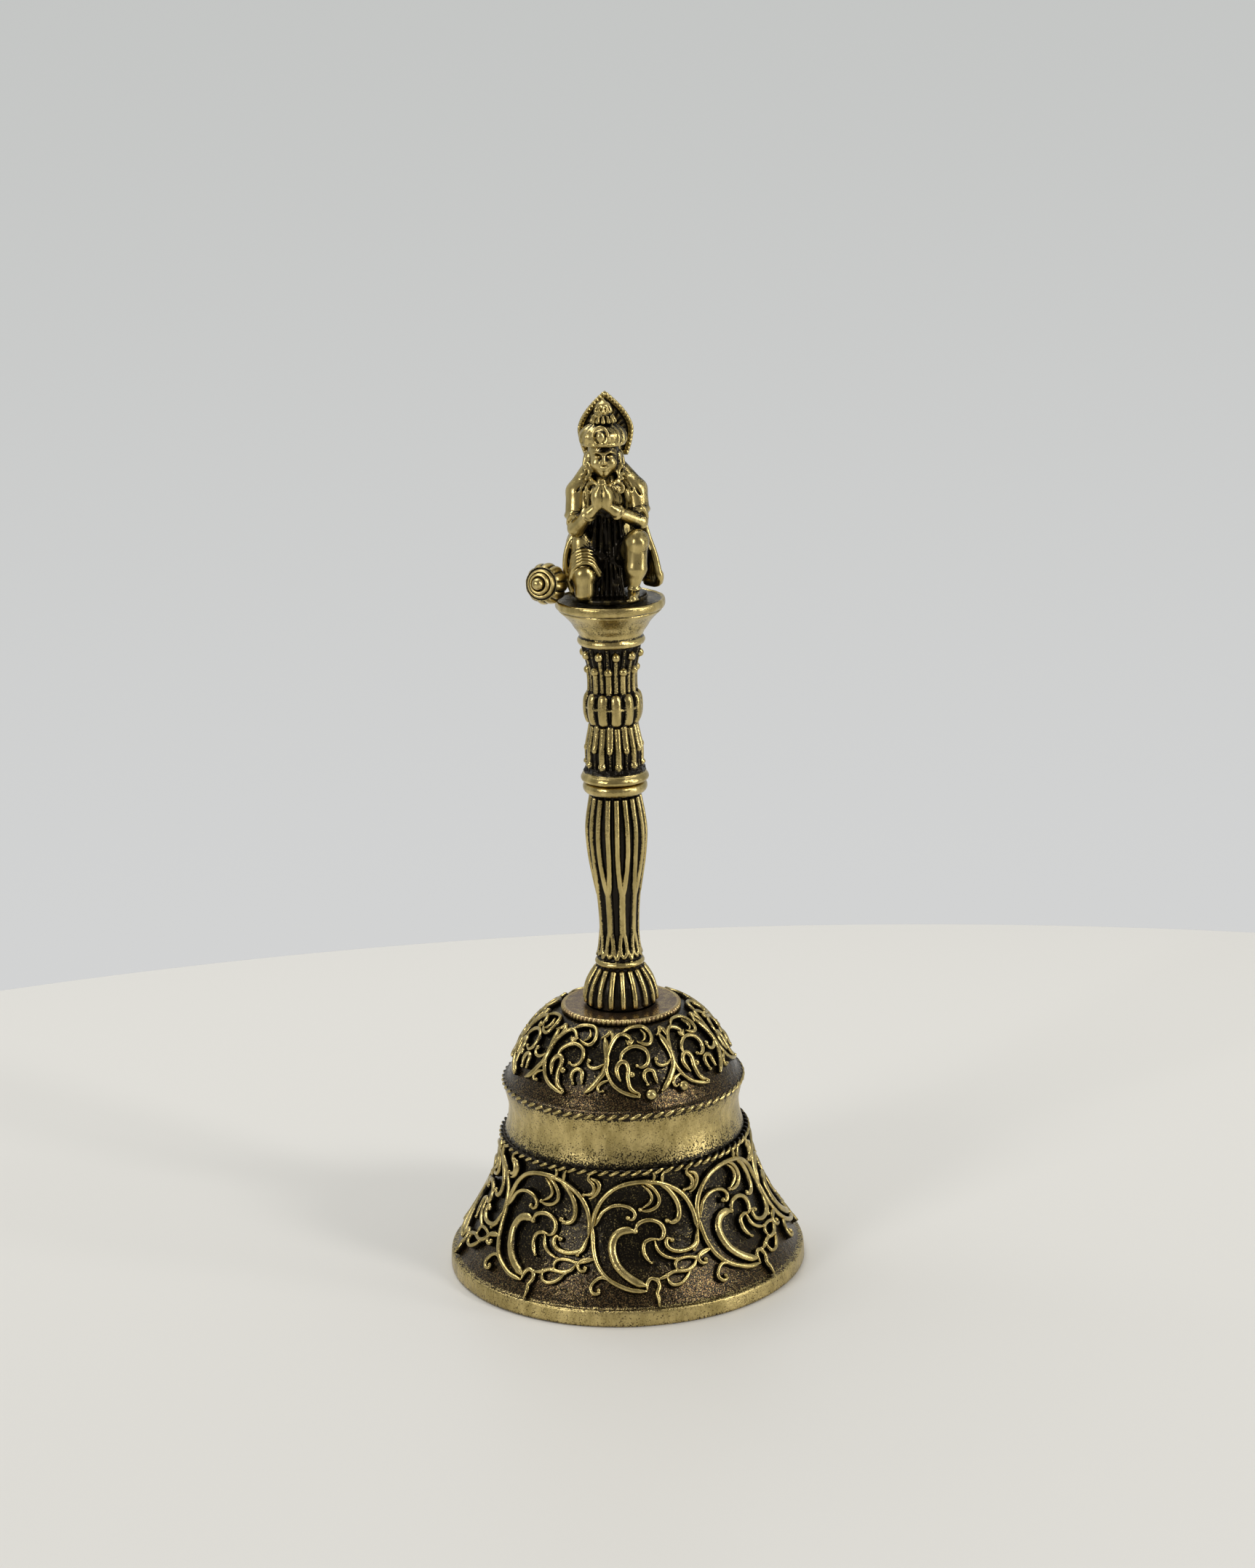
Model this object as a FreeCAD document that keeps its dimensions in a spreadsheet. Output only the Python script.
"""Brass puja bell: a hand bell with applied scrollwork, a two-piece turned and fluted handle,
a kneeling devotee figure on top and a clapper that hangs from an eye bolt by a ring.

Millimetres. +Z is up, the origin is the centre of the mouth on the surface the bell stands on,
and the figure faces -Y, so its left hand is on the +X side.
"""
import FreeCAD, Part
import math
import os
import Sketcher
from FreeCAD import Placement, Rotation, Vector

doc = FreeCAD.newDocument("PujaBell")

# name, value in millimetres unless the note says otherwise, what it is
SIZES = (
    ("lip_radius", 36.2, "mouth: outer radius at the table"),
    ("lip_inner_radius", 33.3, "mouth: inner radius at the table"),
    ("rim_band_radius", 36.0, "top of the plain rim band"),
    ("rim_band_height", 3.2, "top of the plain rim band"),
    ("skirt_foot_radius", 34.9, "skirt where it meets the rim band"),
    ("skirt_foot_height", 3.6, "skirt where it meets the rim band"),
    ("skirt_bow", 46.9, "arc radius of the flared skirt"),
    ("waist_radius", 24.3, "top of the skirt"),
    ("waist_height", 27.5, "top of the skirt"),
    ("band_low_radius", 24.0, "lower edge of the smooth band"),
    ("band_low_height", 29.2, "lower edge of the smooth band"),
    ("band_bow", 13.3, "arc radius of the hollow of the smooth band"),
    ("band_top_radius", 24.15, "upper edge of the smooth band"),
    ("band_top_height", 38.2, "upper edge of the smooth band"),
    ("ledge_radius", 24.2, "ledge that carries the upper rope"),
    ("ledge_height", 39.6, "ledge that carries the upper rope"),
    ("dome_foot_radius", 23.3, "foot of the dome"),
    ("dome_foot_height", 40.2, "foot of the dome"),
    ("dome_bow", 23.7, "arc radius of the dome"),
    ("dome_top_radius", 12.4, "edge of the flat crown"),
    ("crown_height", 53.6, "flat crown"),
    ("crown_under_height", 51.4, "underside of the crown"),
    ("inner_crown_radius", 10.5, "edge of the flat crown, inside"),
    ("inner_dome_bow", 20.7, "arc radius of the dome, inside"),
    ("inner_dome_radius", 21.3, "foot of the dome, inside"),
    ("inner_dome_height", 39.4, "foot of the dome, inside"),
    ("inner_waist_radius", 21.9, "top of the skirt, inside"),
    ("inner_waist_height", 28.4, "top of the skirt, inside"),
    ("inner_skirt_bow", 52.8, "arc radius of the skirt, inside"),
    ("inner_skirt_radius", 32.7, "foot of the skirt, inside"),
    ("inner_skirt_height", 2.4, "foot of the skirt, inside"),
    ("rope_wire_radius", 0.75, "rope wires"),
    ("waist_rope_radius", 24.75, "centre line of the rope round the waist"),
    ("waist_rope_height", 27.8, "centre line of the rope round the waist"),
    ("dome_rope_radius", 23.85, "centre line of the rope at the foot of the dome"),
    ("dome_rope_height", 39.2, "centre line of the rope at the foot of the dome"),
    ("scroll_relief", 1.1, "how far the scrollwork stands off the shell"),
    ("scroll_seat", 0.2, "how deep the scrollwork is let into the shell"),
    ("scroll_wire", 1.1, "width of a scroll strand"),
    ("skirt_scroll_count", 8, "medallions round the skirt (a number)"),
    ("skirt_scroll_radius", 11.1, "outer radius of a skirt medallion"),
    ("skirt_scroll_height", 15.6, "centre of a skirt medallion"),
    ("dome_scroll_count", 9, "medallions round the dome (a number)"),
    ("dome_scroll_radius", 6.45, "outer radius of a dome medallion"),
    ("dome_scroll_height", 47.6, "centre of a dome medallion"),
    ("disc_radius", 12.1, "crown disc"),
    ("disc_land_radius", 9.6, "land under the crown disc"),
    ("disc_edge_height", 54.0, "underside of the crown disc's rim"),
    ("disc_top_height", 55.0, "top of the crown disc"),
    ("shank_radius", 2.0, "eye bolt shank and the holes it passes"),
    ("shank_top_height", 63.0, "end of the eye bolt in the handle"),
    ("grip_bore_top", 63.6, "end of the hole for the eye bolt"),
    ("foot_radius", 7.6, "foot of the handle"),
    ("foot_corner_radius", 7.2, "underside of the handle's foot"),
    ("foot_corner_height", 55.5, "lower edge of the handle's foot"),
    ("foot_band_height", 57.0, "where the foot starts to draw in"),
    ("foot_bow", 11.0, "arc radius of the ribbed foot"),
    ("rib_gap_foot", 57.6, "lower end of the gaps between the ribs"),
    ("rib_top_radius", 5.75, "upper end of the gaps between the ribs"),
    ("rib_top_height", 61.6, "upper end of the gaps between the ribs"),
    ("foot_top_radius", 5.0, "top of the ribbed foot"),
    ("foot_top_height", 62.8, "top of the ribbed foot"),
    ("ring_bow", 1.1, "arc radius of the small ring over the foot"),
    ("ring_top_radius", 4.7, "top of the small ring over the foot"),
    ("ring_top_height", 64.8, "top of the small ring over the foot"),
    ("neck_bow", 14.5, "arc radius of the neck's hollow"),
    ("neck_radius", 3.95, "thinnest part of the handle"),
    ("neck_height", 70.5, "thinnest part of the handle"),
    ("swell_low_bow", 57.6, "arc radius under the belly"),
    ("belly_radius", 6.2, "thickest part of the grip"),
    ("belly_height", 91.0, "thickest part of the grip"),
    ("swell_top_bow", 38.8, "arc radius over the belly"),
    ("grip_top_radius", 5.1, "top of the fluted grip"),
    ("grip_top_height", 98.4, "top of the fluted grip"),
    ("collar_foot_radius", 5.6, "underside of the lower collar"),
    ("collar_foot_height", 98.9, "underside of the lower collar"),
    ("collar_bow", 1.35, "arc radius of the lower collar"),
    ("collar_top_radius", 5.7, "top of the lower collar"),
    ("joint_height", 101.2, "joint between grip and column"),
    ("stud_radius", 1.75, "stud in the handle joint"),
    ("stud_length", 14.0, "stud in the handle joint"),
    ("stud_foot_height", 94.0, "lower end of the stud"),
    ("grip_stud_hole_end", 93.6, "end of the stud hole in the grip"),
    ("column_stud_hole_end", 108.4, "end of the stud hole in the column"),
    ("seat_radius", 6.0, "underside of the upper collar"),
    ("seat_bow", 1.3, "arc radius of the upper collar"),
    ("seat_top_radius", 6.2, "top of the upper collar"),
    ("seat_top_height", 103.2, "top of the upper collar"),
    ("lower_leaf_bow", 26.0, "arc radius of the lower leaf section"),
    ("column_waist_radius", 5.0, "column between the leaves and the bulge"),
    ("column_waist_height", 112.6, "column between the leaves and the bulge"),
    ("bulge_bow", 6.6, "arc radius of the lobed bulge"),
    ("bulge_top_radius", 5.1, "top of the lobed bulge"),
    ("bulge_top_height", 119.2, "top of the lobed bulge"),
    ("upper_leaf_bow", 57.4, "arc radius of the upper leaf section"),
    ("column_top_radius", 6.1, "top of the column"),
    ("column_top_height", 128.8, "top of the column"),
    ("flute_radius", 0.8, "cutter radius of the long flutes"),
    ("rib_gap_radius", 0.55, "cutter radius of the gaps between the foot's ribs"),
    ("foot_rib_count", 18, "ribs round the foot (a number)"),
    ("grip_flute_count", 9, "flutes round the grip (a number)"),
    ("column_flute_count", 10, "flutes round each leaf section (a number)"),
    ("spigot_radius", 2.2, "spigot under the pedestal"),
    ("spigot_end_height", 121.0, "lower end of the spigot"),
    ("spigot_hole_end", 120.6, "end of the spigot's hole in the column"),
    ("pedestal_ring_radius", 6.1, "pedestal ring, at its lower and upper edge"),
    ("pedestal_ring_bow", 1.15, "arc radius of the pedestal ring"),
    ("pedestal_ring_top", 130.6, "top of the pedestal ring"),
    ("flare_bow", 12.1, "arc radius of the pedestal's flare"),
    ("flare_top_radius", 10.4, "top of the pedestal's flare"),
    ("flare_top_height", 136.2, "top of the pedestal's flare"),
    ("plinth_radius", 10.75, "rim of the pedestal"),
    ("plinth_edge_height", 136.5, "lower edge of the pedestal's rim"),
    ("plinth_top_height", 138.0, "top of the pedestal"),
    ("peg_radius", 1.25, "peg under the figure"),
    ("peg_end_height", 133.4, "lower end of the figure's peg"),
    ("peg_hole_end", 133.0, "end of the peg's hole in the pedestal"),
    ("figure_base_radius", 7.4, "base under the figure"),
    ("figure_base_thickness", 0.9, "base under the figure"),
    ("halo_thickness", 1.0, "halo plate"),
    ("halo_half_width", 5.4, "halo plate at its widest"),
    ("halo_wide_height", 170.5, "halo plate at its widest"),
    ("halo_foot_half_width", 4.2, "foot of the halo plate"),
    ("halo_foot_height", 165.5, "foot of the halo plate"),
    ("halo_tip_height", 178.0, "tip of the halo plate"),
    ("halo_low_bow", 9.0, "arc radius of the halo's lower sides"),
    ("halo_top_bow", 9.4, "arc radius of the halo's upper sides"),
    ("halo_front", 3.0, "distance of the halo's front face behind the axis"),
    ("mace_ball_radius", 4.1, "mace head"),
    ("mace_boss_radius", 2.2, "stepped boss on the mace head"),
    ("mace_knob_radius", 1.1, "knob on the mace head"),
    ("mace_shaft_radius", 1.15, "mace shaft"),
    ("mace_shaft_length", 13.5, "mace shaft, from the centre of the ball"),
    ("eye_ring_radius", 3.0, "centre line of the eye bolt's eye"),
    ("eye_wire_radius", 1.1, "wire of the eye bolt's eye"),
    ("eye_height", 44.0, "centre of the eye bolt's eye"),
    ("washer_radius", 4.6, "washer under the crown"),
    ("washer_thickness", 0.8, "washer under the crown"),
    ("nut_across_flats", 7.0, "lock nut"),
    ("nut_thickness", 2.8, "lock nut"),
    ("link_ring_radius", 3.6, "centre line of the clapper link"),
    ("link_wire_radius", 0.9, "wire of the clapper link"),
    ("clapper_eye_radius", 2.6, "centre line of the clapper's eye"),
    ("clapper_wire_radius", 0.9, "wire of the clapper's eye"),
    ("running_clearance", 0.06, "gap between two wires that hang in each other"),
    ("rod_radius", 1.2, "clapper rod"),
    ("rod_end_height", 6.0, "lower end of the clapper rod, inside the ball"),
    ("ball_radius", 7.0, "clapper ball"),
    ("ball_height", 10.5, "centre of the clapper ball"),
)

# name, formula of other cells, what it is
DERIVED = (
    ("skirt_scroll_pitch", "360 / skirt_scroll_count", "degrees from medallion to medallion"),
    ("dome_scroll_pitch", "360 / dome_scroll_count", "degrees from medallion to medallion"),
    ("washer_foot", "crown_under_height - washer_thickness", "underside of the washer"),
    ("nut_foot", "washer_foot - nut_thickness", "underside of the lock nut"),
    ("eye_top", "eye_height + eye_ring_radius", "where the eye meets its shank"),
    ("shank_length", "shank_top_height - eye_top", "eye bolt shank"),
    ("nut_corner_radius", "nut_across_flats / sqrt(3)", "lock nut over its corners"),
    ("eye_foot", "eye_height - eye_ring_radius", "wire centre at the foot of the eye"),
    ("link_top", "eye_foot + eye_wire_radius + link_wire_radius + running_clearance",
     "wire centre at the top of the link"),
    ("link_height", "link_top - link_ring_radius", "centre of the link"),
    ("link_foot", "link_height - link_ring_radius", "wire centre at the foot of the link"),
    ("clapper_eye_top", "link_foot + link_wire_radius + clapper_wire_radius + running_clearance",
     "wire centre at the top of the clapper's eye"),
    ("clapper_eye_height", "clapper_eye_top - clapper_eye_radius", "centre of the clapper's eye"),
    ("rod_top", "clapper_eye_height - clapper_eye_radius", "where the rod meets its eye"),
    ("rod_length", "rod_top - rod_end_height", "clapper rod"),
    ("peg_length", "plinth_top_height + figure_base_thickness - peg_end_height", "figure's peg"),
)

sheet = doc.addObject("Spreadsheet::Sheet", "Sizes")
for row, (alias, value, note) in enumerate(SIZES, start=1):
    sheet.set(f"A{row}", note)
    sheet.set(f"B{row}", str(value))
    sheet.setAlias(f"B{row}", alias)
for row, (alias, formula, note) in enumerate(DERIVED, start=len(SIZES) + 1):
    sheet.set(f"A{row}", note)
    sheet.set(f"B{row}", "=" + formula)
    sheet.setAlias(f"B{row}", alias)
doc.recompute()


def size(alias):
    """The number in a cell of the sheet."""
    return float(sheet.get(alias))


def bind(item, **properties):
    """Tie properties of an object to cells of the sheet."""
    for name, alias in properties.items():
        item.setExpression(name, "Sizes." + alias)
    return item


def place(item, position=Vector(), rotation=Rotation(), height=None):
    """Put a primitive in place; height names the cell that its Z follows."""
    item.Placement = Placement(position, rotation)
    if height:
        item.setExpression("Placement.Base.z", "Sizes." + height)
    return item


def primitive(kind, name, **properties):
    return bind(doc.addObject("Part::" + kind, name), **properties)


# ---- turned pieces -----------------------------------------------------------------------------

def origin_feature(body, role):
    """One of a body's own origin planes or axes."""
    return next(item for item in body.Origin.OriginFeatures if item.Role == role)


def arc_between(start, end, radius):
    """The short arc from start to end; a positive radius bulges to the right of the way along."""
    chord = end - start
    half = chord.Length / 2
    side = Vector(-chord.y, chord.x).normalize() * math.copysign(1, radius)
    centre = (start + end) / 2 + side * math.sqrt(radius * radius - half * half)
    first = math.atan2(start.y - centre.y, start.x - centre.x)
    last = math.atan2(end.y - centre.y, end.x - centre.x)
    circle = Part.Circle(Vector(centre.x, centre.y), Vector(0, 0, 1), abs(radius))
    if radius > 0:
        return Part.ArcOfCircle(circle, first, last), 1, 2
    return Part.ArcOfCircle(circle, last, first), 2, 1


def outline_sketch(body, name, outline, closed=True):
    """A sketch in the XZ plane through points (radius cell, height cell, bow cell or None).

    A bow is the radius of the arc from that point to the next one, with a minus sign in front of
    its name where the arc is hollow. Zero stands for the axis.
    """
    sketch = body.newObject("Sketcher::SketchObject", name)
    sketch.AttachmentSupport = [(origin_feature(body, "XZ_Plane"), "")]
    sketch.MapMode = "FlatFace"
    corners = [Vector(size(r) if r else 0, size(z) if z else 0) for r, z, bow in outline]
    spans = len(outline) if closed else len(outline) - 1
    ends = []
    for index in range(spans):
        start, end = corners[index], corners[(index + 1) % len(corners)]
        bow = outline[index][2]
        if bow:
            hollow = bow.startswith("-")
            cell = bow.lstrip("-")
            arc, first, last = arc_between(start, end, -size(cell) if hollow else size(cell))
            geometry = sketch.addGeometry(arc)
            number = sketch.addConstraint(Sketcher.Constraint("Radius", geometry, size(cell)))
            sketch.setExpression(f"Constraints[{number}]", "Sizes." + cell)
        else:
            first, last = 1, 2
            geometry = sketch.addGeometry(Part.LineSegment(start, end))
        ends.append((geometry, first, last))
    for index, (geometry, first, last) in enumerate(ends):
        if closed or index + 1 < spans:
            following, start, _ = ends[(index + 1) % spans]
            sketch.addConstraint(Sketcher.Constraint("Coincident", geometry, last, following, start))
    points = [(geometry, first) for geometry, first, last in ends]
    if not closed:
        points.append((ends[-1][0], ends[-1][2]))
    for (geometry, point), (radius, height, _), corner in zip(points, outline, corners):
        for kind, cell, value, axis in (("DistanceX", radius, corner.x, -2),
                                        ("DistanceY", height, corner.y, -1)):
            if cell:
                rule = Sketcher.Constraint(kind, -1, 1, geometry, point, value)
                number = sketch.addConstraint(rule)
                sketch.setExpression(f"Constraints[{number}]", "Sizes." + cell)
            else:
                sketch.addConstraint(Sketcher.Constraint("PointOnObject", geometry, point, axis))
    return sketch


def turned(label, outline):
    """A body turned about the Z axis."""
    body = doc.addObject("PartDesign::Body", label)
    sketch = outline_sketch(body, label + "_outline", outline)
    turn = body.newObject("PartDesign::Revolution", label + "_turned")
    turn.Profile = sketch
    turn.ReferenceAxis = (sketch, ["V_Axis"])
    turn.Angle = 360
    doc.recompute()
    return body


def fluted(body, name, path, cutter, count):
    """Cut count round flutes, as wide as the cutter, into a turned body along its outline."""
    spine = outline_sketch(body, name + "_path", path, closed=False)
    section = body.newObject("Sketcher::SketchObject", name + "_section")
    section.AttachmentSupport = [(origin_feature(body, "XY_Plane"), "")]
    section.MapMode = "FlatFace"
    section.setExpression("AttachmentOffset.Base.z", "Sizes." + path[0][1])
    radius = size(cutter)
    start = Vector(size(path[0][0]), 0)
    circle = section.addGeometry(Part.Circle(start, Vector(0, 0, 1), radius))
    for rule, cell in ((Sketcher.Constraint("Radius", circle, radius), cutter),
                       (Sketcher.Constraint("DistanceX", -1, 1, circle, 3, start.x), path[0][0])):
        number = section.addConstraint(rule)
        section.setExpression(f"Constraints[{number}]", "Sizes." + cell)
    section.addConstraint(Sketcher.Constraint("PointOnObject", circle, 3, -1))
    doc.recompute()
    solid_before = body.Shape.Volume
    cut = body.newObject("PartDesign::SubtractivePipe", name + "_cut")
    cut.Profile = section
    cut.Spine = (spine, [f"Edge{number + 1}" for number in range(len(path) - 1)])
    doc.recompute()
    pattern = body.newObject("PartDesign::PolarPattern", name + "_pattern")
    pattern.Originals = [cut]
    pattern.Axis = (origin_feature(body, "Z_Axis"), [""])
    pattern.Angle = 360
    bind(pattern, Occurrences=count)
    body.Tip = pattern
    doc.recompute()
    if body.Shape.Volume >= solid_before:
        raise RuntimeError(name + " cut nothing")


turned("bell_cup", (
    ("lip_inner_radius", 0, None),
    ("lip_radius", 0, None),
    ("rim_band_radius", "rim_band_height", None),
    ("skirt_foot_radius", "skirt_foot_height", "-skirt_bow"),
    ("waist_radius", "waist_height", None),
    ("band_low_radius", "band_low_height", "-band_bow"),
    ("band_top_radius", "band_top_height", None),
    ("ledge_radius", "ledge_height", None),
    ("dome_foot_radius", "dome_foot_height", "dome_bow"),
    ("dome_top_radius", "crown_height", None),
    ("shank_radius", "crown_height", None),
    ("shank_radius", "crown_under_height", None),
    ("inner_crown_radius", "crown_under_height", "-inner_dome_bow"),
    ("inner_dome_radius", "inner_dome_height", None),
    ("inner_waist_radius", "inner_waist_height", "inner_skirt_bow"),
    ("inner_skirt_radius", "inner_skirt_height", None),
))

turned("crown_disc", (
    ("shank_radius", "crown_height", None),
    ("disc_land_radius", "crown_height", None),
    ("disc_land_radius", "disc_edge_height", None),
    ("disc_radius", "disc_edge_height", None),
    ("disc_radius", "disc_top_height", None),
    ("shank_radius", "disc_top_height", None),
))

lower_grip = turned("lower_grip", (
    (0, "grip_bore_top", None),
    ("shank_radius", "grip_bore_top", None),
    ("shank_radius", "disc_top_height", None),
    ("foot_corner_radius", "disc_top_height", None),
    ("foot_radius", "foot_corner_height", None),
    ("foot_radius", "foot_band_height", "foot_bow"),
    ("foot_top_radius", "foot_top_height", "ring_bow"),
    ("ring_top_radius", "ring_top_height", "-neck_bow"),
    ("neck_radius", "neck_height", "-swell_low_bow"),
    ("belly_radius", "belly_height", "swell_top_bow"),
    ("grip_top_radius", "grip_top_height", None),
    ("collar_foot_radius", "collar_foot_height", "collar_bow"),
    ("collar_top_radius", "joint_height", None),
    ("stud_radius", "joint_height", None),
    ("stud_radius", "grip_stud_hole_end", None),
    (0, "grip_stud_hole_end", None),
))
fluted(lower_grip, "foot_ribs", (
    ("foot_radius", "rib_gap_foot", "foot_bow"),
    ("rib_top_radius", "rib_top_height", None),
), "rib_gap_radius", "foot_rib_count")
fluted(lower_grip, "grip_flutes", (
    ("neck_radius", "neck_height", "-swell_low_bow"),
    ("belly_radius", "belly_height", "swell_top_bow"),
    ("grip_top_radius", "grip_top_height", None),
), "flute_radius", "grip_flute_count")

upper_column = turned("upper_column", (
    (0, "column_stud_hole_end", None),
    ("stud_radius", "column_stud_hole_end", None),
    ("stud_radius", "joint_height", None),
    ("seat_radius", "joint_height", "seat_bow"),
    ("seat_top_radius", "seat_top_height", "lower_leaf_bow"),
    ("column_waist_radius", "column_waist_height", "bulge_bow"),
    ("bulge_top_radius", "bulge_top_height", "-upper_leaf_bow"),
    ("column_top_radius", "column_top_height", None),
    ("spigot_radius", "column_top_height", None),
    ("spigot_radius", "spigot_hole_end", None),
    (0, "spigot_hole_end", None),
))
fluted(upper_column, "lower_leaves", (
    ("seat_top_radius", "seat_top_height", "lower_leaf_bow"),
    ("column_waist_radius", "column_waist_height", None),
), "flute_radius", "column_flute_count")
fluted(upper_column, "upper_leaves", (
    ("bulge_top_radius", "bulge_top_height", "-upper_leaf_bow"),
    ("column_top_radius", "column_top_height", None),
), "flute_radius", "column_flute_count")

turned("pedestal_cap", (
    (0, "spigot_end_height", None),
    ("spigot_radius", "spigot_end_height", None),
    ("spigot_radius", "column_top_height", None),
    ("pedestal_ring_radius", "column_top_height", "pedestal_ring_bow"),
    ("pedestal_ring_radius", "pedestal_ring_top", "-flare_bow"),
    ("flare_top_radius", "flare_top_height", None),
    ("plinth_radius", "plinth_edge_height", None),
    ("plinth_radius", "plinth_top_height", None),
    ("peg_radius", "plinth_top_height", None),
    ("peg_radius", "peg_hole_end", None),
    (0, "peg_hole_end", None),
))


# ---- halo plate --------------------------------------------------------------------------------

def make_halo():
    """A pointed-leaf plate that stands behind the figure's head."""
    body = doc.addObject("PartDesign::Body", "halo_plate")
    sketch = body.newObject("Sketcher::SketchObject", "halo_outline")
    sketch.AttachmentSupport = [(origin_feature(body, "XZ_Plane"), "")]
    sketch.MapMode = "FlatFace"
    foot = Vector(size("halo_foot_half_width"), size("halo_foot_height"))
    wide = Vector(size("halo_half_width"), size("halo_wide_height"))
    tip = Vector(0, size("halo_tip_height"))
    mirrored = [Vector(-point.x, point.y) for point in (wide, foot)]
    corners = [foot, wide, tip] + mirrored
    cells = (("halo_foot_half_width", "halo_foot_height"), ("halo_half_width", "halo_wide_height"),
             (None, "halo_tip_height"), ("halo_half_width", "halo_wide_height"),
             ("halo_foot_half_width", "halo_foot_height"))
    bows = ("halo_low_bow", "halo_top_bow", "halo_top_bow", "halo_low_bow")
    ends = []
    for index, cell in enumerate(bows):
        arc, first, last = arc_between(corners[index], corners[index + 1], size(cell))
        geometry = sketch.addGeometry(arc)
        number = sketch.addConstraint(Sketcher.Constraint("Radius", geometry, size(cell)))
        sketch.setExpression(f"Constraints[{number}]", "Sizes." + cell)
        ends.append((geometry, first, last))
    ends.append((sketch.addGeometry(Part.LineSegment(corners[-1], corners[0])), 1, 2))
    for index, (geometry, first, last) in enumerate(ends):
        following, start, _ = ends[(index + 1) % len(ends)]
        sketch.addConstraint(Sketcher.Constraint("Coincident", geometry, last, following, start))
        width, height = cells[index]
        corner = corners[index]
        number = sketch.addConstraint(
            Sketcher.Constraint("DistanceY", -1, 1, geometry, first, corner.y))
        sketch.setExpression(f"Constraints[{number}]", "Sizes." + height)
        if width is None:
            sketch.addConstraint(Sketcher.Constraint("PointOnObject", geometry, first, -2))
            continue
        number = sketch.addConstraint(
            Sketcher.Constraint("DistanceX", -1, 1, geometry, first, corner.x))
        sign = "" if corner.x > 0 else "-"
        sketch.setExpression(f"Constraints[{number}]", sign + "Sizes." + width)
    pad = body.newObject("PartDesign::Pad", "halo_pad")
    pad.Profile = sketch
    bind(pad, Length="halo_thickness")
    body.Placement = Placement(Vector(0, size("halo_front") + size("halo_thickness"), 0), Rotation())
    body.setExpression("Placement.Base.y", "Sizes.halo_front + Sizes.halo_thickness")
    doc.recompute()


make_halo()


# ---- rope wires and scrollwork -----------------------------------------------------------------

def rope_ring(label, radius, height):
    ring = primitive("Torus", label, Radius1=radius, Radius2="rope_wire_radius")
    place(ring, height=height)


rope_ring("waist_rope_ring", "waist_rope_radius", "waist_rope_height")
rope_ring("dome_rope_ring", "dome_rope_radius", "dome_rope_height")


def scroll_layer(start, end, bow, outward):
    """The thin turned layer over one arc of the shell in which its scrollwork lies.

    outward is +1 where the shell is round and -1 where it is hollow.
    """
    arc, _, _ = arc_between(start, end, outward * bow)
    centre = Vector(arc.Center.x, 0, arc.Center.y)
    deep = bow - outward * size("scroll_seat")
    proud = bow + outward * size("scroll_relief")
    middle = (arc.FirstParameter + arc.LastParameter) / 2
    angles = (arc.FirstParameter, middle, arc.LastParameter)
    inner, outer = ([centre + Vector(math.cos(angle), 0, math.sin(angle)) * radius
                     for angle in angles] for radius in (deep, proud))
    wire = Part.Wire([
        Part.Arc(*inner).toShape(),
        Part.LineSegment(inner[2], outer[2]).toShape(),
        Part.Arc(*reversed(outer)).toShape(),
        Part.LineSegment(outer[0], inner[0]).toShape(),
    ])
    return Part.Face(wire).revolve(Vector(), Vector(0, 0, 1), 360)


# Parts of a medallion, as shares of its radius.
C_SCROLL = 0.52
C_OPENING = 0.47
C_DROP = 0.1
CURL = 0.3
BUD = 0.16
# The first medallion stands this share of a pitch away from the front.
FIRST_MEDALLION = 0.2


def scroll_medallion(radius):
    """One ring with a C scroll, a curl and a bud in it, as tall prisms about the local Z axis."""
    wire = size("scroll_wire")
    drop = C_DROP * radius

    def disc(outer, x=0.0, y=0.0):
        return Part.makeCylinder(outer, 2 * radius, Vector(x, y, -radius))

    def strand(outer, x=0.0, y=0.0):
        return disc(outer, x, y).cut(disc(outer - wire, x, y))

    c_radius = C_SCROLL * radius
    c_shift = radius - wire / 2 - c_radius
    opening = Part.makeBox(c_radius, C_OPENING * radius, 2 * radius, Vector(0, -drop, -radius))
    c_scroll = strand(c_radius, -c_shift).cut(opening)
    curl_radius = CURL * radius
    curl_shift = (radius - wire / 2 - curl_radius) * math.sqrt(0.5)
    curl = strand(curl_radius, curl_shift, curl_shift)
    bud = disc(BUD * radius, c_radius - c_shift, -drop)
    return strand(radius).multiFuse([c_scroll, curl, bud])


def scroll_belt(label, layer, ring, surface_radius, slope):
    """A belt of equal medallions round the shell, fused where they touch."""
    tilt = Rotation(Vector(0, 1, 0), math.degrees(slope))
    medallion = scroll_medallion(size(ring + "_radius"))
    medallion.Placement = Placement(Vector(surface_radius, 0, size(ring + "_height")),
                                    tilt.multiply(Rotation(Vector(0, 0, 1), 90)))
    sector = medallion.common(layer)
    belt = []
    for index in range(int(size(ring + "_count"))):
        copy = sector.copy()
        turn = (index + FIRST_MEDALLION) * size(ring + "_pitch")
        copy.rotate(Vector(), Vector(0, 0, 1), turn - 90)
        belt.append(copy)
    feature = doc.addObject("Part::Feature", label)
    feature.Shape = belt[0].multiFuse(belt[1:])


def arc_slope(start, end, bow, outward, height):
    """Radius of the shell and angle of its normal from +Z, at a height on one of its arcs."""
    arc, _, _ = arc_between(start, end, outward * bow)
    rise = height - arc.Center.y
    reach = math.sqrt(bow * bow - rise * rise)
    return arc.Center.x + outward * reach, math.atan2(reach, outward * rise)


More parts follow.
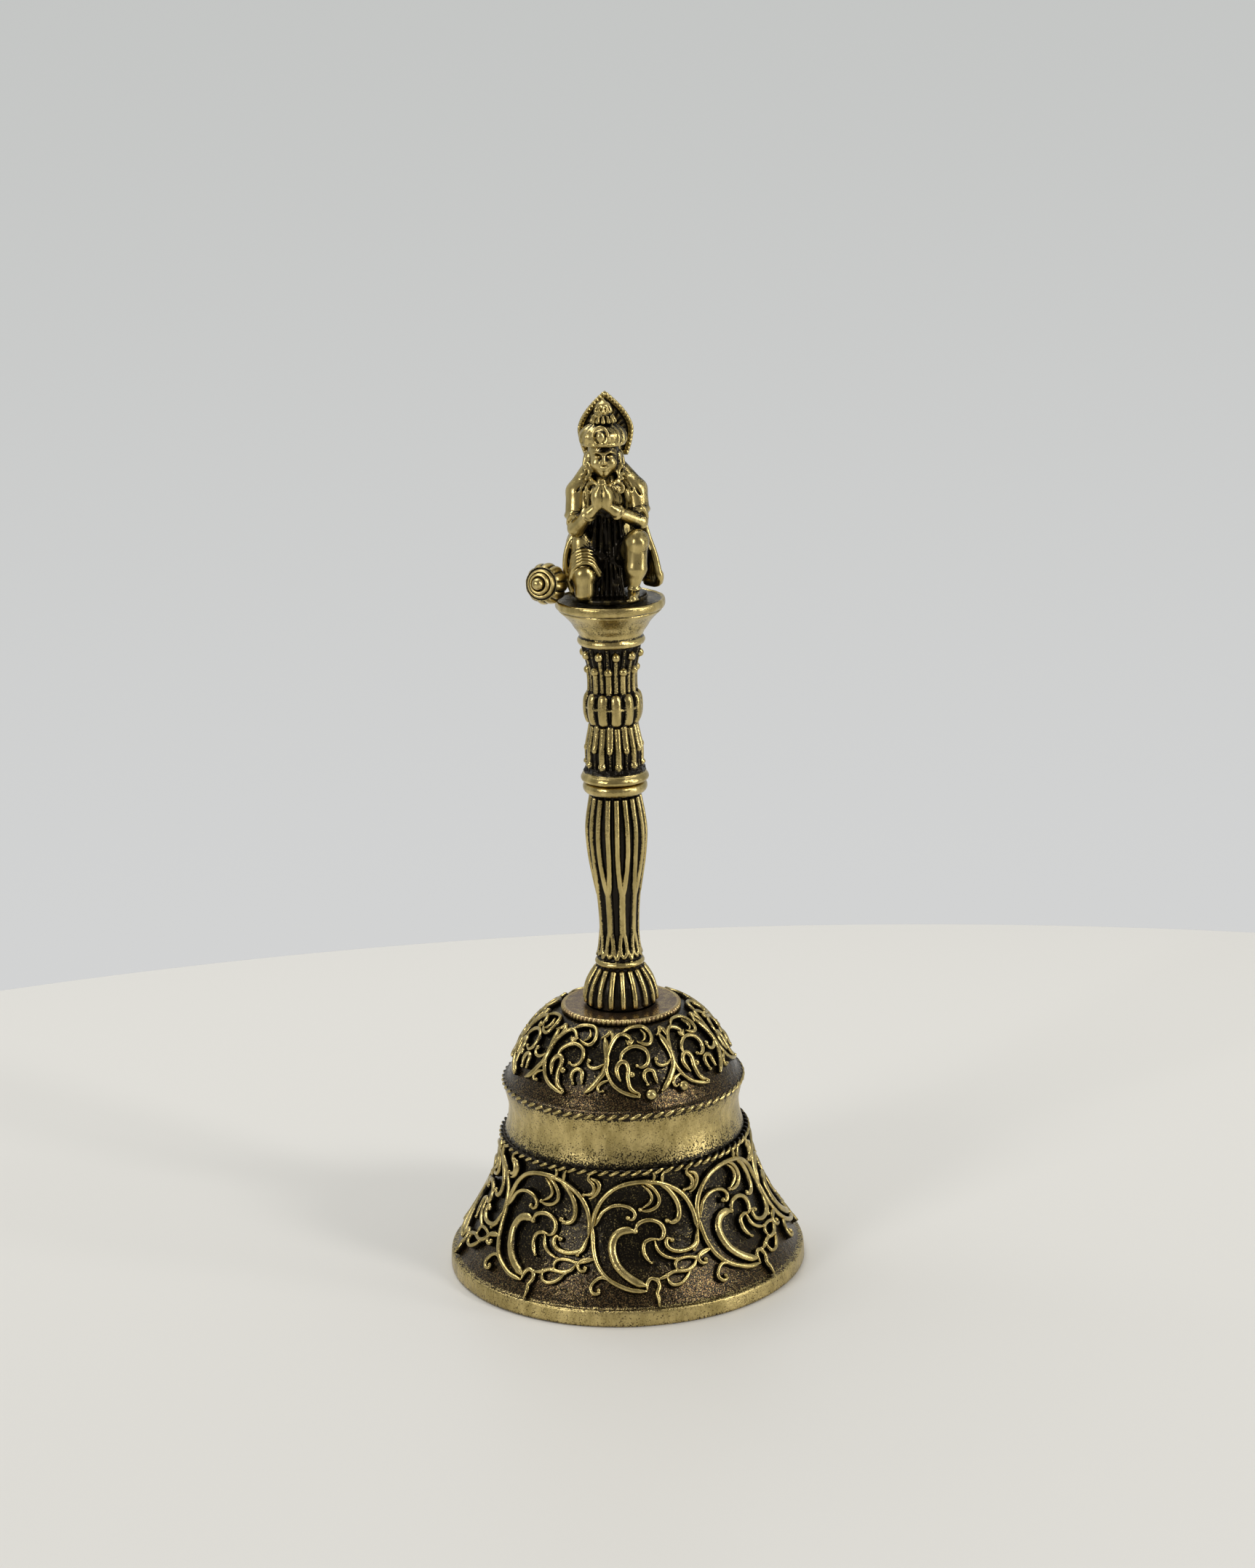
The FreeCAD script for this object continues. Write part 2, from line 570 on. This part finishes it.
for label, ends, bow, outward, ring in (
        ("skirt_scrollwork", ("skirt_foot", "waist"), "skirt_bow", -1, "skirt_scroll"),
        ("dome_scrollwork", ("dome_foot", "dome_top"), "dome_bow", 1, "dome_scroll")):
    low = Vector(size(ends[0] + "_radius"), size(ends[0] + "_height"))
    high_name = "crown_height" if ends[1] == "dome_top" else ends[1] + "_height"
    high = Vector(size(ends[1] + "_radius"), size(high_name))
    reach, slope = arc_slope(low, high, size(bow), outward, size(ring + "_height"))
    scroll_belt(label, scroll_layer(low, high, size(bow), outward), ring, reach, slope)


# ---- eye bolt, washer, nut and stud ------------------------------------------------------------

UPRIGHT_XZ = Rotation(Vector(1, 0, 0), 90)
UPRIGHT_YZ = Rotation(Vector(0, 1, 0), 90)


def fuse(label, parts):
    whole = doc.addObject("Part::MultiFuse", label)
    whole.Shapes = parts
    return whole


def bored_disc(label, blank, foot, length):
    """Cut the eye bolt's hole out of a blank."""
    hole = primitive("Cylinder", label + "_hole", Radius="shank_radius", Height=length)
    place(hole, height=foot)
    cut = doc.addObject("Part::Cut", label)
    cut.Base = blank
    cut.Tool = hole


def make_eye_bolt():
    eye = primitive("Torus", "bolt_eye", Radius1="eye_ring_radius", Radius2="eye_wire_radius")
    place(eye, rotation=UPRIGHT_XZ, height="eye_height")
    shank = primitive("Cylinder", "bolt_shank", Radius="shank_radius", Height="shank_length")
    place(shank, height="eye_top")
    fuse("eye_bolt", [eye, shank])


def make_washer():
    blank = primitive("Cylinder", "washer_blank", Radius="washer_radius",
                      Height="washer_thickness")
    place(blank, height="washer_foot")
    bored_disc("flat_washer", blank, "washer_foot", "washer_thickness")


def make_nut():
    blank = primitive("Prism", "nut_blank", Circumradius="nut_corner_radius",
                      Height="nut_thickness")
    blank.Polygon = 6
    place(blank, height="nut_foot")
    bored_disc("lock_nut", blank, "nut_foot", "nut_thickness")


make_eye_bolt()
make_washer()
make_nut()
stud = primitive("Cylinder", "handle_stud", Radius="stud_radius", Height="stud_length")
place(stud, height="stud_foot_height")


# ---- clapper -----------------------------------------------------------------------------------

link = primitive("Torus", "clapper_link", Radius1="link_ring_radius", Radius2="link_wire_radius")
place(link, rotation=UPRIGHT_YZ, height="link_height")


def make_clapper_rod():
    eye = primitive("Torus", "clapper_eye", Radius1="clapper_eye_radius",
                    Radius2="clapper_wire_radius")
    place(eye, rotation=UPRIGHT_XZ, height="clapper_eye_height")
    stem = primitive("Cylinder", "clapper_stem", Radius="rod_radius", Height="rod_length")
    place(stem, height="rod_end_height")
    fuse("clapper_rod", [eye, stem])


def make_clapper_ball():
    ball = primitive("Sphere", "ball_blank", Radius="ball_radius")
    place(ball, height="ball_height")
    hole = primitive("Cylinder", "ball_hole", Radius="rod_radius", Height="rod_length")
    place(hole, height="rod_end_height")
    cut = doc.addObject("Part::Cut", "clapper_ball")
    cut.Base = ball
    cut.Tool = hole


make_clapper_rod()
make_clapper_ball()


# ---- mace --------------------------------------------------------------------------------------

MACE_CENTRE = Vector(-12.2, -2.5, 141.6)
MACE_FRONT = Vector(-0.40, -0.90, 0.19)
MACE_TURN = Rotation(Vector(0, 0, 1), MACE_FRONT)


def make_mace_head():
    """A ball with a stepped boss and a knob on the side away from the shaft."""
    ball = primitive("Sphere", "mace_ball", Radius="mace_ball_radius")
    boss = primitive("Cylinder", "mace_boss", Radius="mace_boss_radius",
                     Height="mace_ball_radius")
    knob = primitive("Sphere", "mace_knob", Radius="mace_knob_radius")
    for item in (ball, boss):
        place(item, MACE_CENTRE, MACE_TURN)
    tip = MACE_CENTRE + MACE_TURN.multVec(Vector(0, 0, size("mace_ball_radius")))
    place(knob, tip, MACE_TURN)
    solid = fuse("mace_head_solid", [ball, boss, knob])
    hole = primitive("Cylinder", "mace_hole", Radius="mace_shaft_radius",
                     Height="mace_shaft_length")
    place(hole, MACE_CENTRE, Rotation(Vector(0, 0, 1), -MACE_FRONT))
    cut = doc.addObject("Part::Cut", "mace_head")
    cut.Base = solid
    cut.Tool = hole


make_mace_head()
mace_shaft = primitive("Cylinder", "mace_shaft", Radius="mace_shaft_radius",
                       Height="mace_shaft_length")
place(mace_shaft, MACE_CENTRE, Rotation(Vector(0, 0, 1), -MACE_FRONT))


# ---- devotee figure ----------------------------------------------------------------------------

# Where the figure's joints are, and how thick its limbs are there (radius).
FIGURE_JOINTS = {
    "neck": (Vector(-0.4, -0.6, 161.0), 2.6),
    "chest": (Vector(0.0, 0.2, 157.0), 4.6),
    "hips": (Vector(0.0, 1.4, 146.0), 5.4),
    "seat": (Vector(0.0, 2.0, 143.8), 5.6),
    "left_shoulder": (Vector(5.8, 0.0, 158.4), 2.3),
    "left_elbow": (Vector(6.4, -1.6, 152.6), 1.9),
    "left_wrist": (Vector(1.2, -6.0, 155.2), 1.3),
    "right_shoulder": (Vector(-5.9, -0.3, 157.6), 2.2),
    "right_elbow": (Vector(-5.6, -1.8, 151.6), 1.9),
    "right_wrist": (Vector(-2.6, -6.0, 155.0), 1.3),
    "fingertips": (Vector(-1.0, -6.4, 159.0), 1.0),
    "palms": (Vector(-0.8, -6.0, 156.4), 1.9),
    "left_hip": (Vector(3.0, 0.8, 145.0), 3.2),
    "left_knee": (Vector(5.2, -5.2, 149.8), 2.2),
    "left_ankle": (Vector(4.6, -5.6, 141.0), 1.2),
    "left_toes": (Vector(4.4, -8.0, 139.3), 1.1),
    "right_hip": (Vector(-3.0, 0.6, 145.0), 3.4),
    "right_knee": (Vector(-4.8, -4.8, 141.4), 2.4),
    "right_toes": (Vector(-4.0, 6.0, 140.0), 1.6),
    "cape_neck": (Vector(0.8, 2.2, 158.0), 3.6),
    "cape_hem": (Vector(7.2, 3.6, 142.0), 2.6),
}
FIGURE_LIMBS = (
    ("neck", "chest"), ("chest", "hips"), ("hips", "seat"),
    ("chest", "left_shoulder"), ("left_shoulder", "left_elbow"), ("left_elbow", "left_wrist"),
    ("chest", "right_shoulder"), ("right_shoulder", "right_elbow"),
    ("right_elbow", "right_wrist"), ("left_wrist", "palms"), ("right_wrist", "palms"),
    ("palms", "fingertips"), ("hips", "left_hip"), ("left_hip", "left_knee"),
    ("left_knee", "left_ankle"), ("left_ankle", "left_toes"), ("hips", "right_hip"),
    ("right_hip", "right_knee"), ("right_knee", "right_toes"), ("cape_neck", "cape_hem"),
)
LIMB_TO_JOINT = 0.94  # a limb is a little thinner than the ball at its joint
# centre and radius of the balls of the head
HEAD = (Vector(-0.5, -1.0, 164.8), 3.4)
TURBAN = (Vector(-0.5, -0.6, 169.2), 4.3)
# foot, radius and rise of each tier of the turban
TURBAN_TIERS = ((172.4, 2.6, 2.4), (174.6, 1.8, 2.0))
TURBAN_TIP = Vector(-0.3, -0.4, 176.4)
TURBAN_TIP_CONE = (1.2, 0.3, 1.4)  # lower radius, upper radius, rise
HALO_NECK = (Vector(-0.2, 0.0, 169.6), 1.5)  # front end and radius


def make_figure():
    """The devotee: balls at the joints, cones between them, a turban and a base with a peg."""
    pieces = []
    for name, (position, radius) in FIGURE_JOINTS.items():
        joint = doc.addObject("Part::Sphere", "figure_" + name)
        joint.Radius = radius
        pieces.append(place(joint, position))
    for start, end in FIGURE_LIMBS:
        (foot, foot_radius), (tip, tip_radius) = FIGURE_JOINTS[start], FIGURE_JOINTS[end]
        limb = doc.addObject("Part::Cone", f"figure_{start}_to_{end}")
        limb.Radius1, limb.Radius2 = LIMB_TO_JOINT * foot_radius, LIMB_TO_JOINT * tip_radius
        limb.Height = (tip - foot).Length
        pieces.append(place(limb, foot, Rotation(Vector(0, 0, 1), tip - foot)))
    for name, (position, radius) in (("head", HEAD), ("turban", TURBAN)):
        ball = doc.addObject("Part::Sphere", "figure_" + name)
        ball.Radius = radius
        pieces.append(place(ball, position))
    for number, (height, radius, rise) in enumerate(TURBAN_TIERS, start=1):
        tier = doc.addObject("Part::Cylinder", f"figure_tier_{number}")
        tier.Radius, tier.Height = radius, rise
        pieces.append(place(tier, Vector(TURBAN_TIP.x, TURBAN_TIP.y, height)))
    tip = doc.addObject("Part::Cone", "figure_turban_tip")
    tip.Radius1, tip.Radius2, tip.Height = TURBAN_TIP_CONE
    pieces.append(place(tip, TURBAN_TIP))
    front, radius = HALO_NECK
    halo_neck = doc.addObject("Part::Cylinder", "figure_halo_neck")
    halo_neck.Radius = radius
    halo_neck.Height = size("halo_front") - front.y
    pieces.append(place(halo_neck, front, Rotation(Vector(0, 0, 1), Vector(0, 1, 0))))
    base = primitive("Cylinder", "figure_base", Radius="figure_base_radius",
                     Height="figure_base_thickness")
    pieces.append(place(base, height="plinth_top_height"))
    peg = primitive("Cylinder", "figure_peg", Radius="peg_radius", Height="peg_length")
    pieces.append(place(peg, height="peg_end_height"))
    return pieces


fuse("devotee_figure", make_figure())


# ---- check and write ---------------------------------------------------------------------------

NODES = (
    "bell_cup", "waist_rope_ring", "dome_rope_ring", "skirt_scrollwork", "dome_scrollwork",
    "crown_disc", "eye_bolt", "flat_washer", "lock_nut", "lower_grip", "handle_stud",
    "upper_column", "pedestal_cap", "devotee_figure", "halo_plate", "mace_head", "mace_shaft",
    "clapper_link", "clapper_rod", "clapper_ball",
)

doc.recompute()
failed = [item.Label for item in doc.Objects if {"Invalid", "Error"} & set(item.State)]
if failed:
    raise RuntimeError("objects that failed: " + ", ".join(failed))
for node in NODES:
    shape = doc.getObject(node).Shape
    if shape.isNull() or not shape.isValid() or not shape.Solids:
        raise RuntimeError(node + " has no valid solid")
os.makedirs("parts", exist_ok=True)
for node in NODES:
    shape = doc.getObject(node).Shape
    shape.exportStep(f"parts/{node}.step")
    box = shape.BoundBox
    print(f"{node:18s} solids {len(shape.Solids)}  volume {shape.Volume:9.1f}"
          f"  x {box.XMin:7.2f} {box.XMax:7.2f}  y {box.YMin:7.2f} {box.YMax:7.2f}"
          f"  z {box.ZMin:7.2f} {box.ZMax:7.2f}")
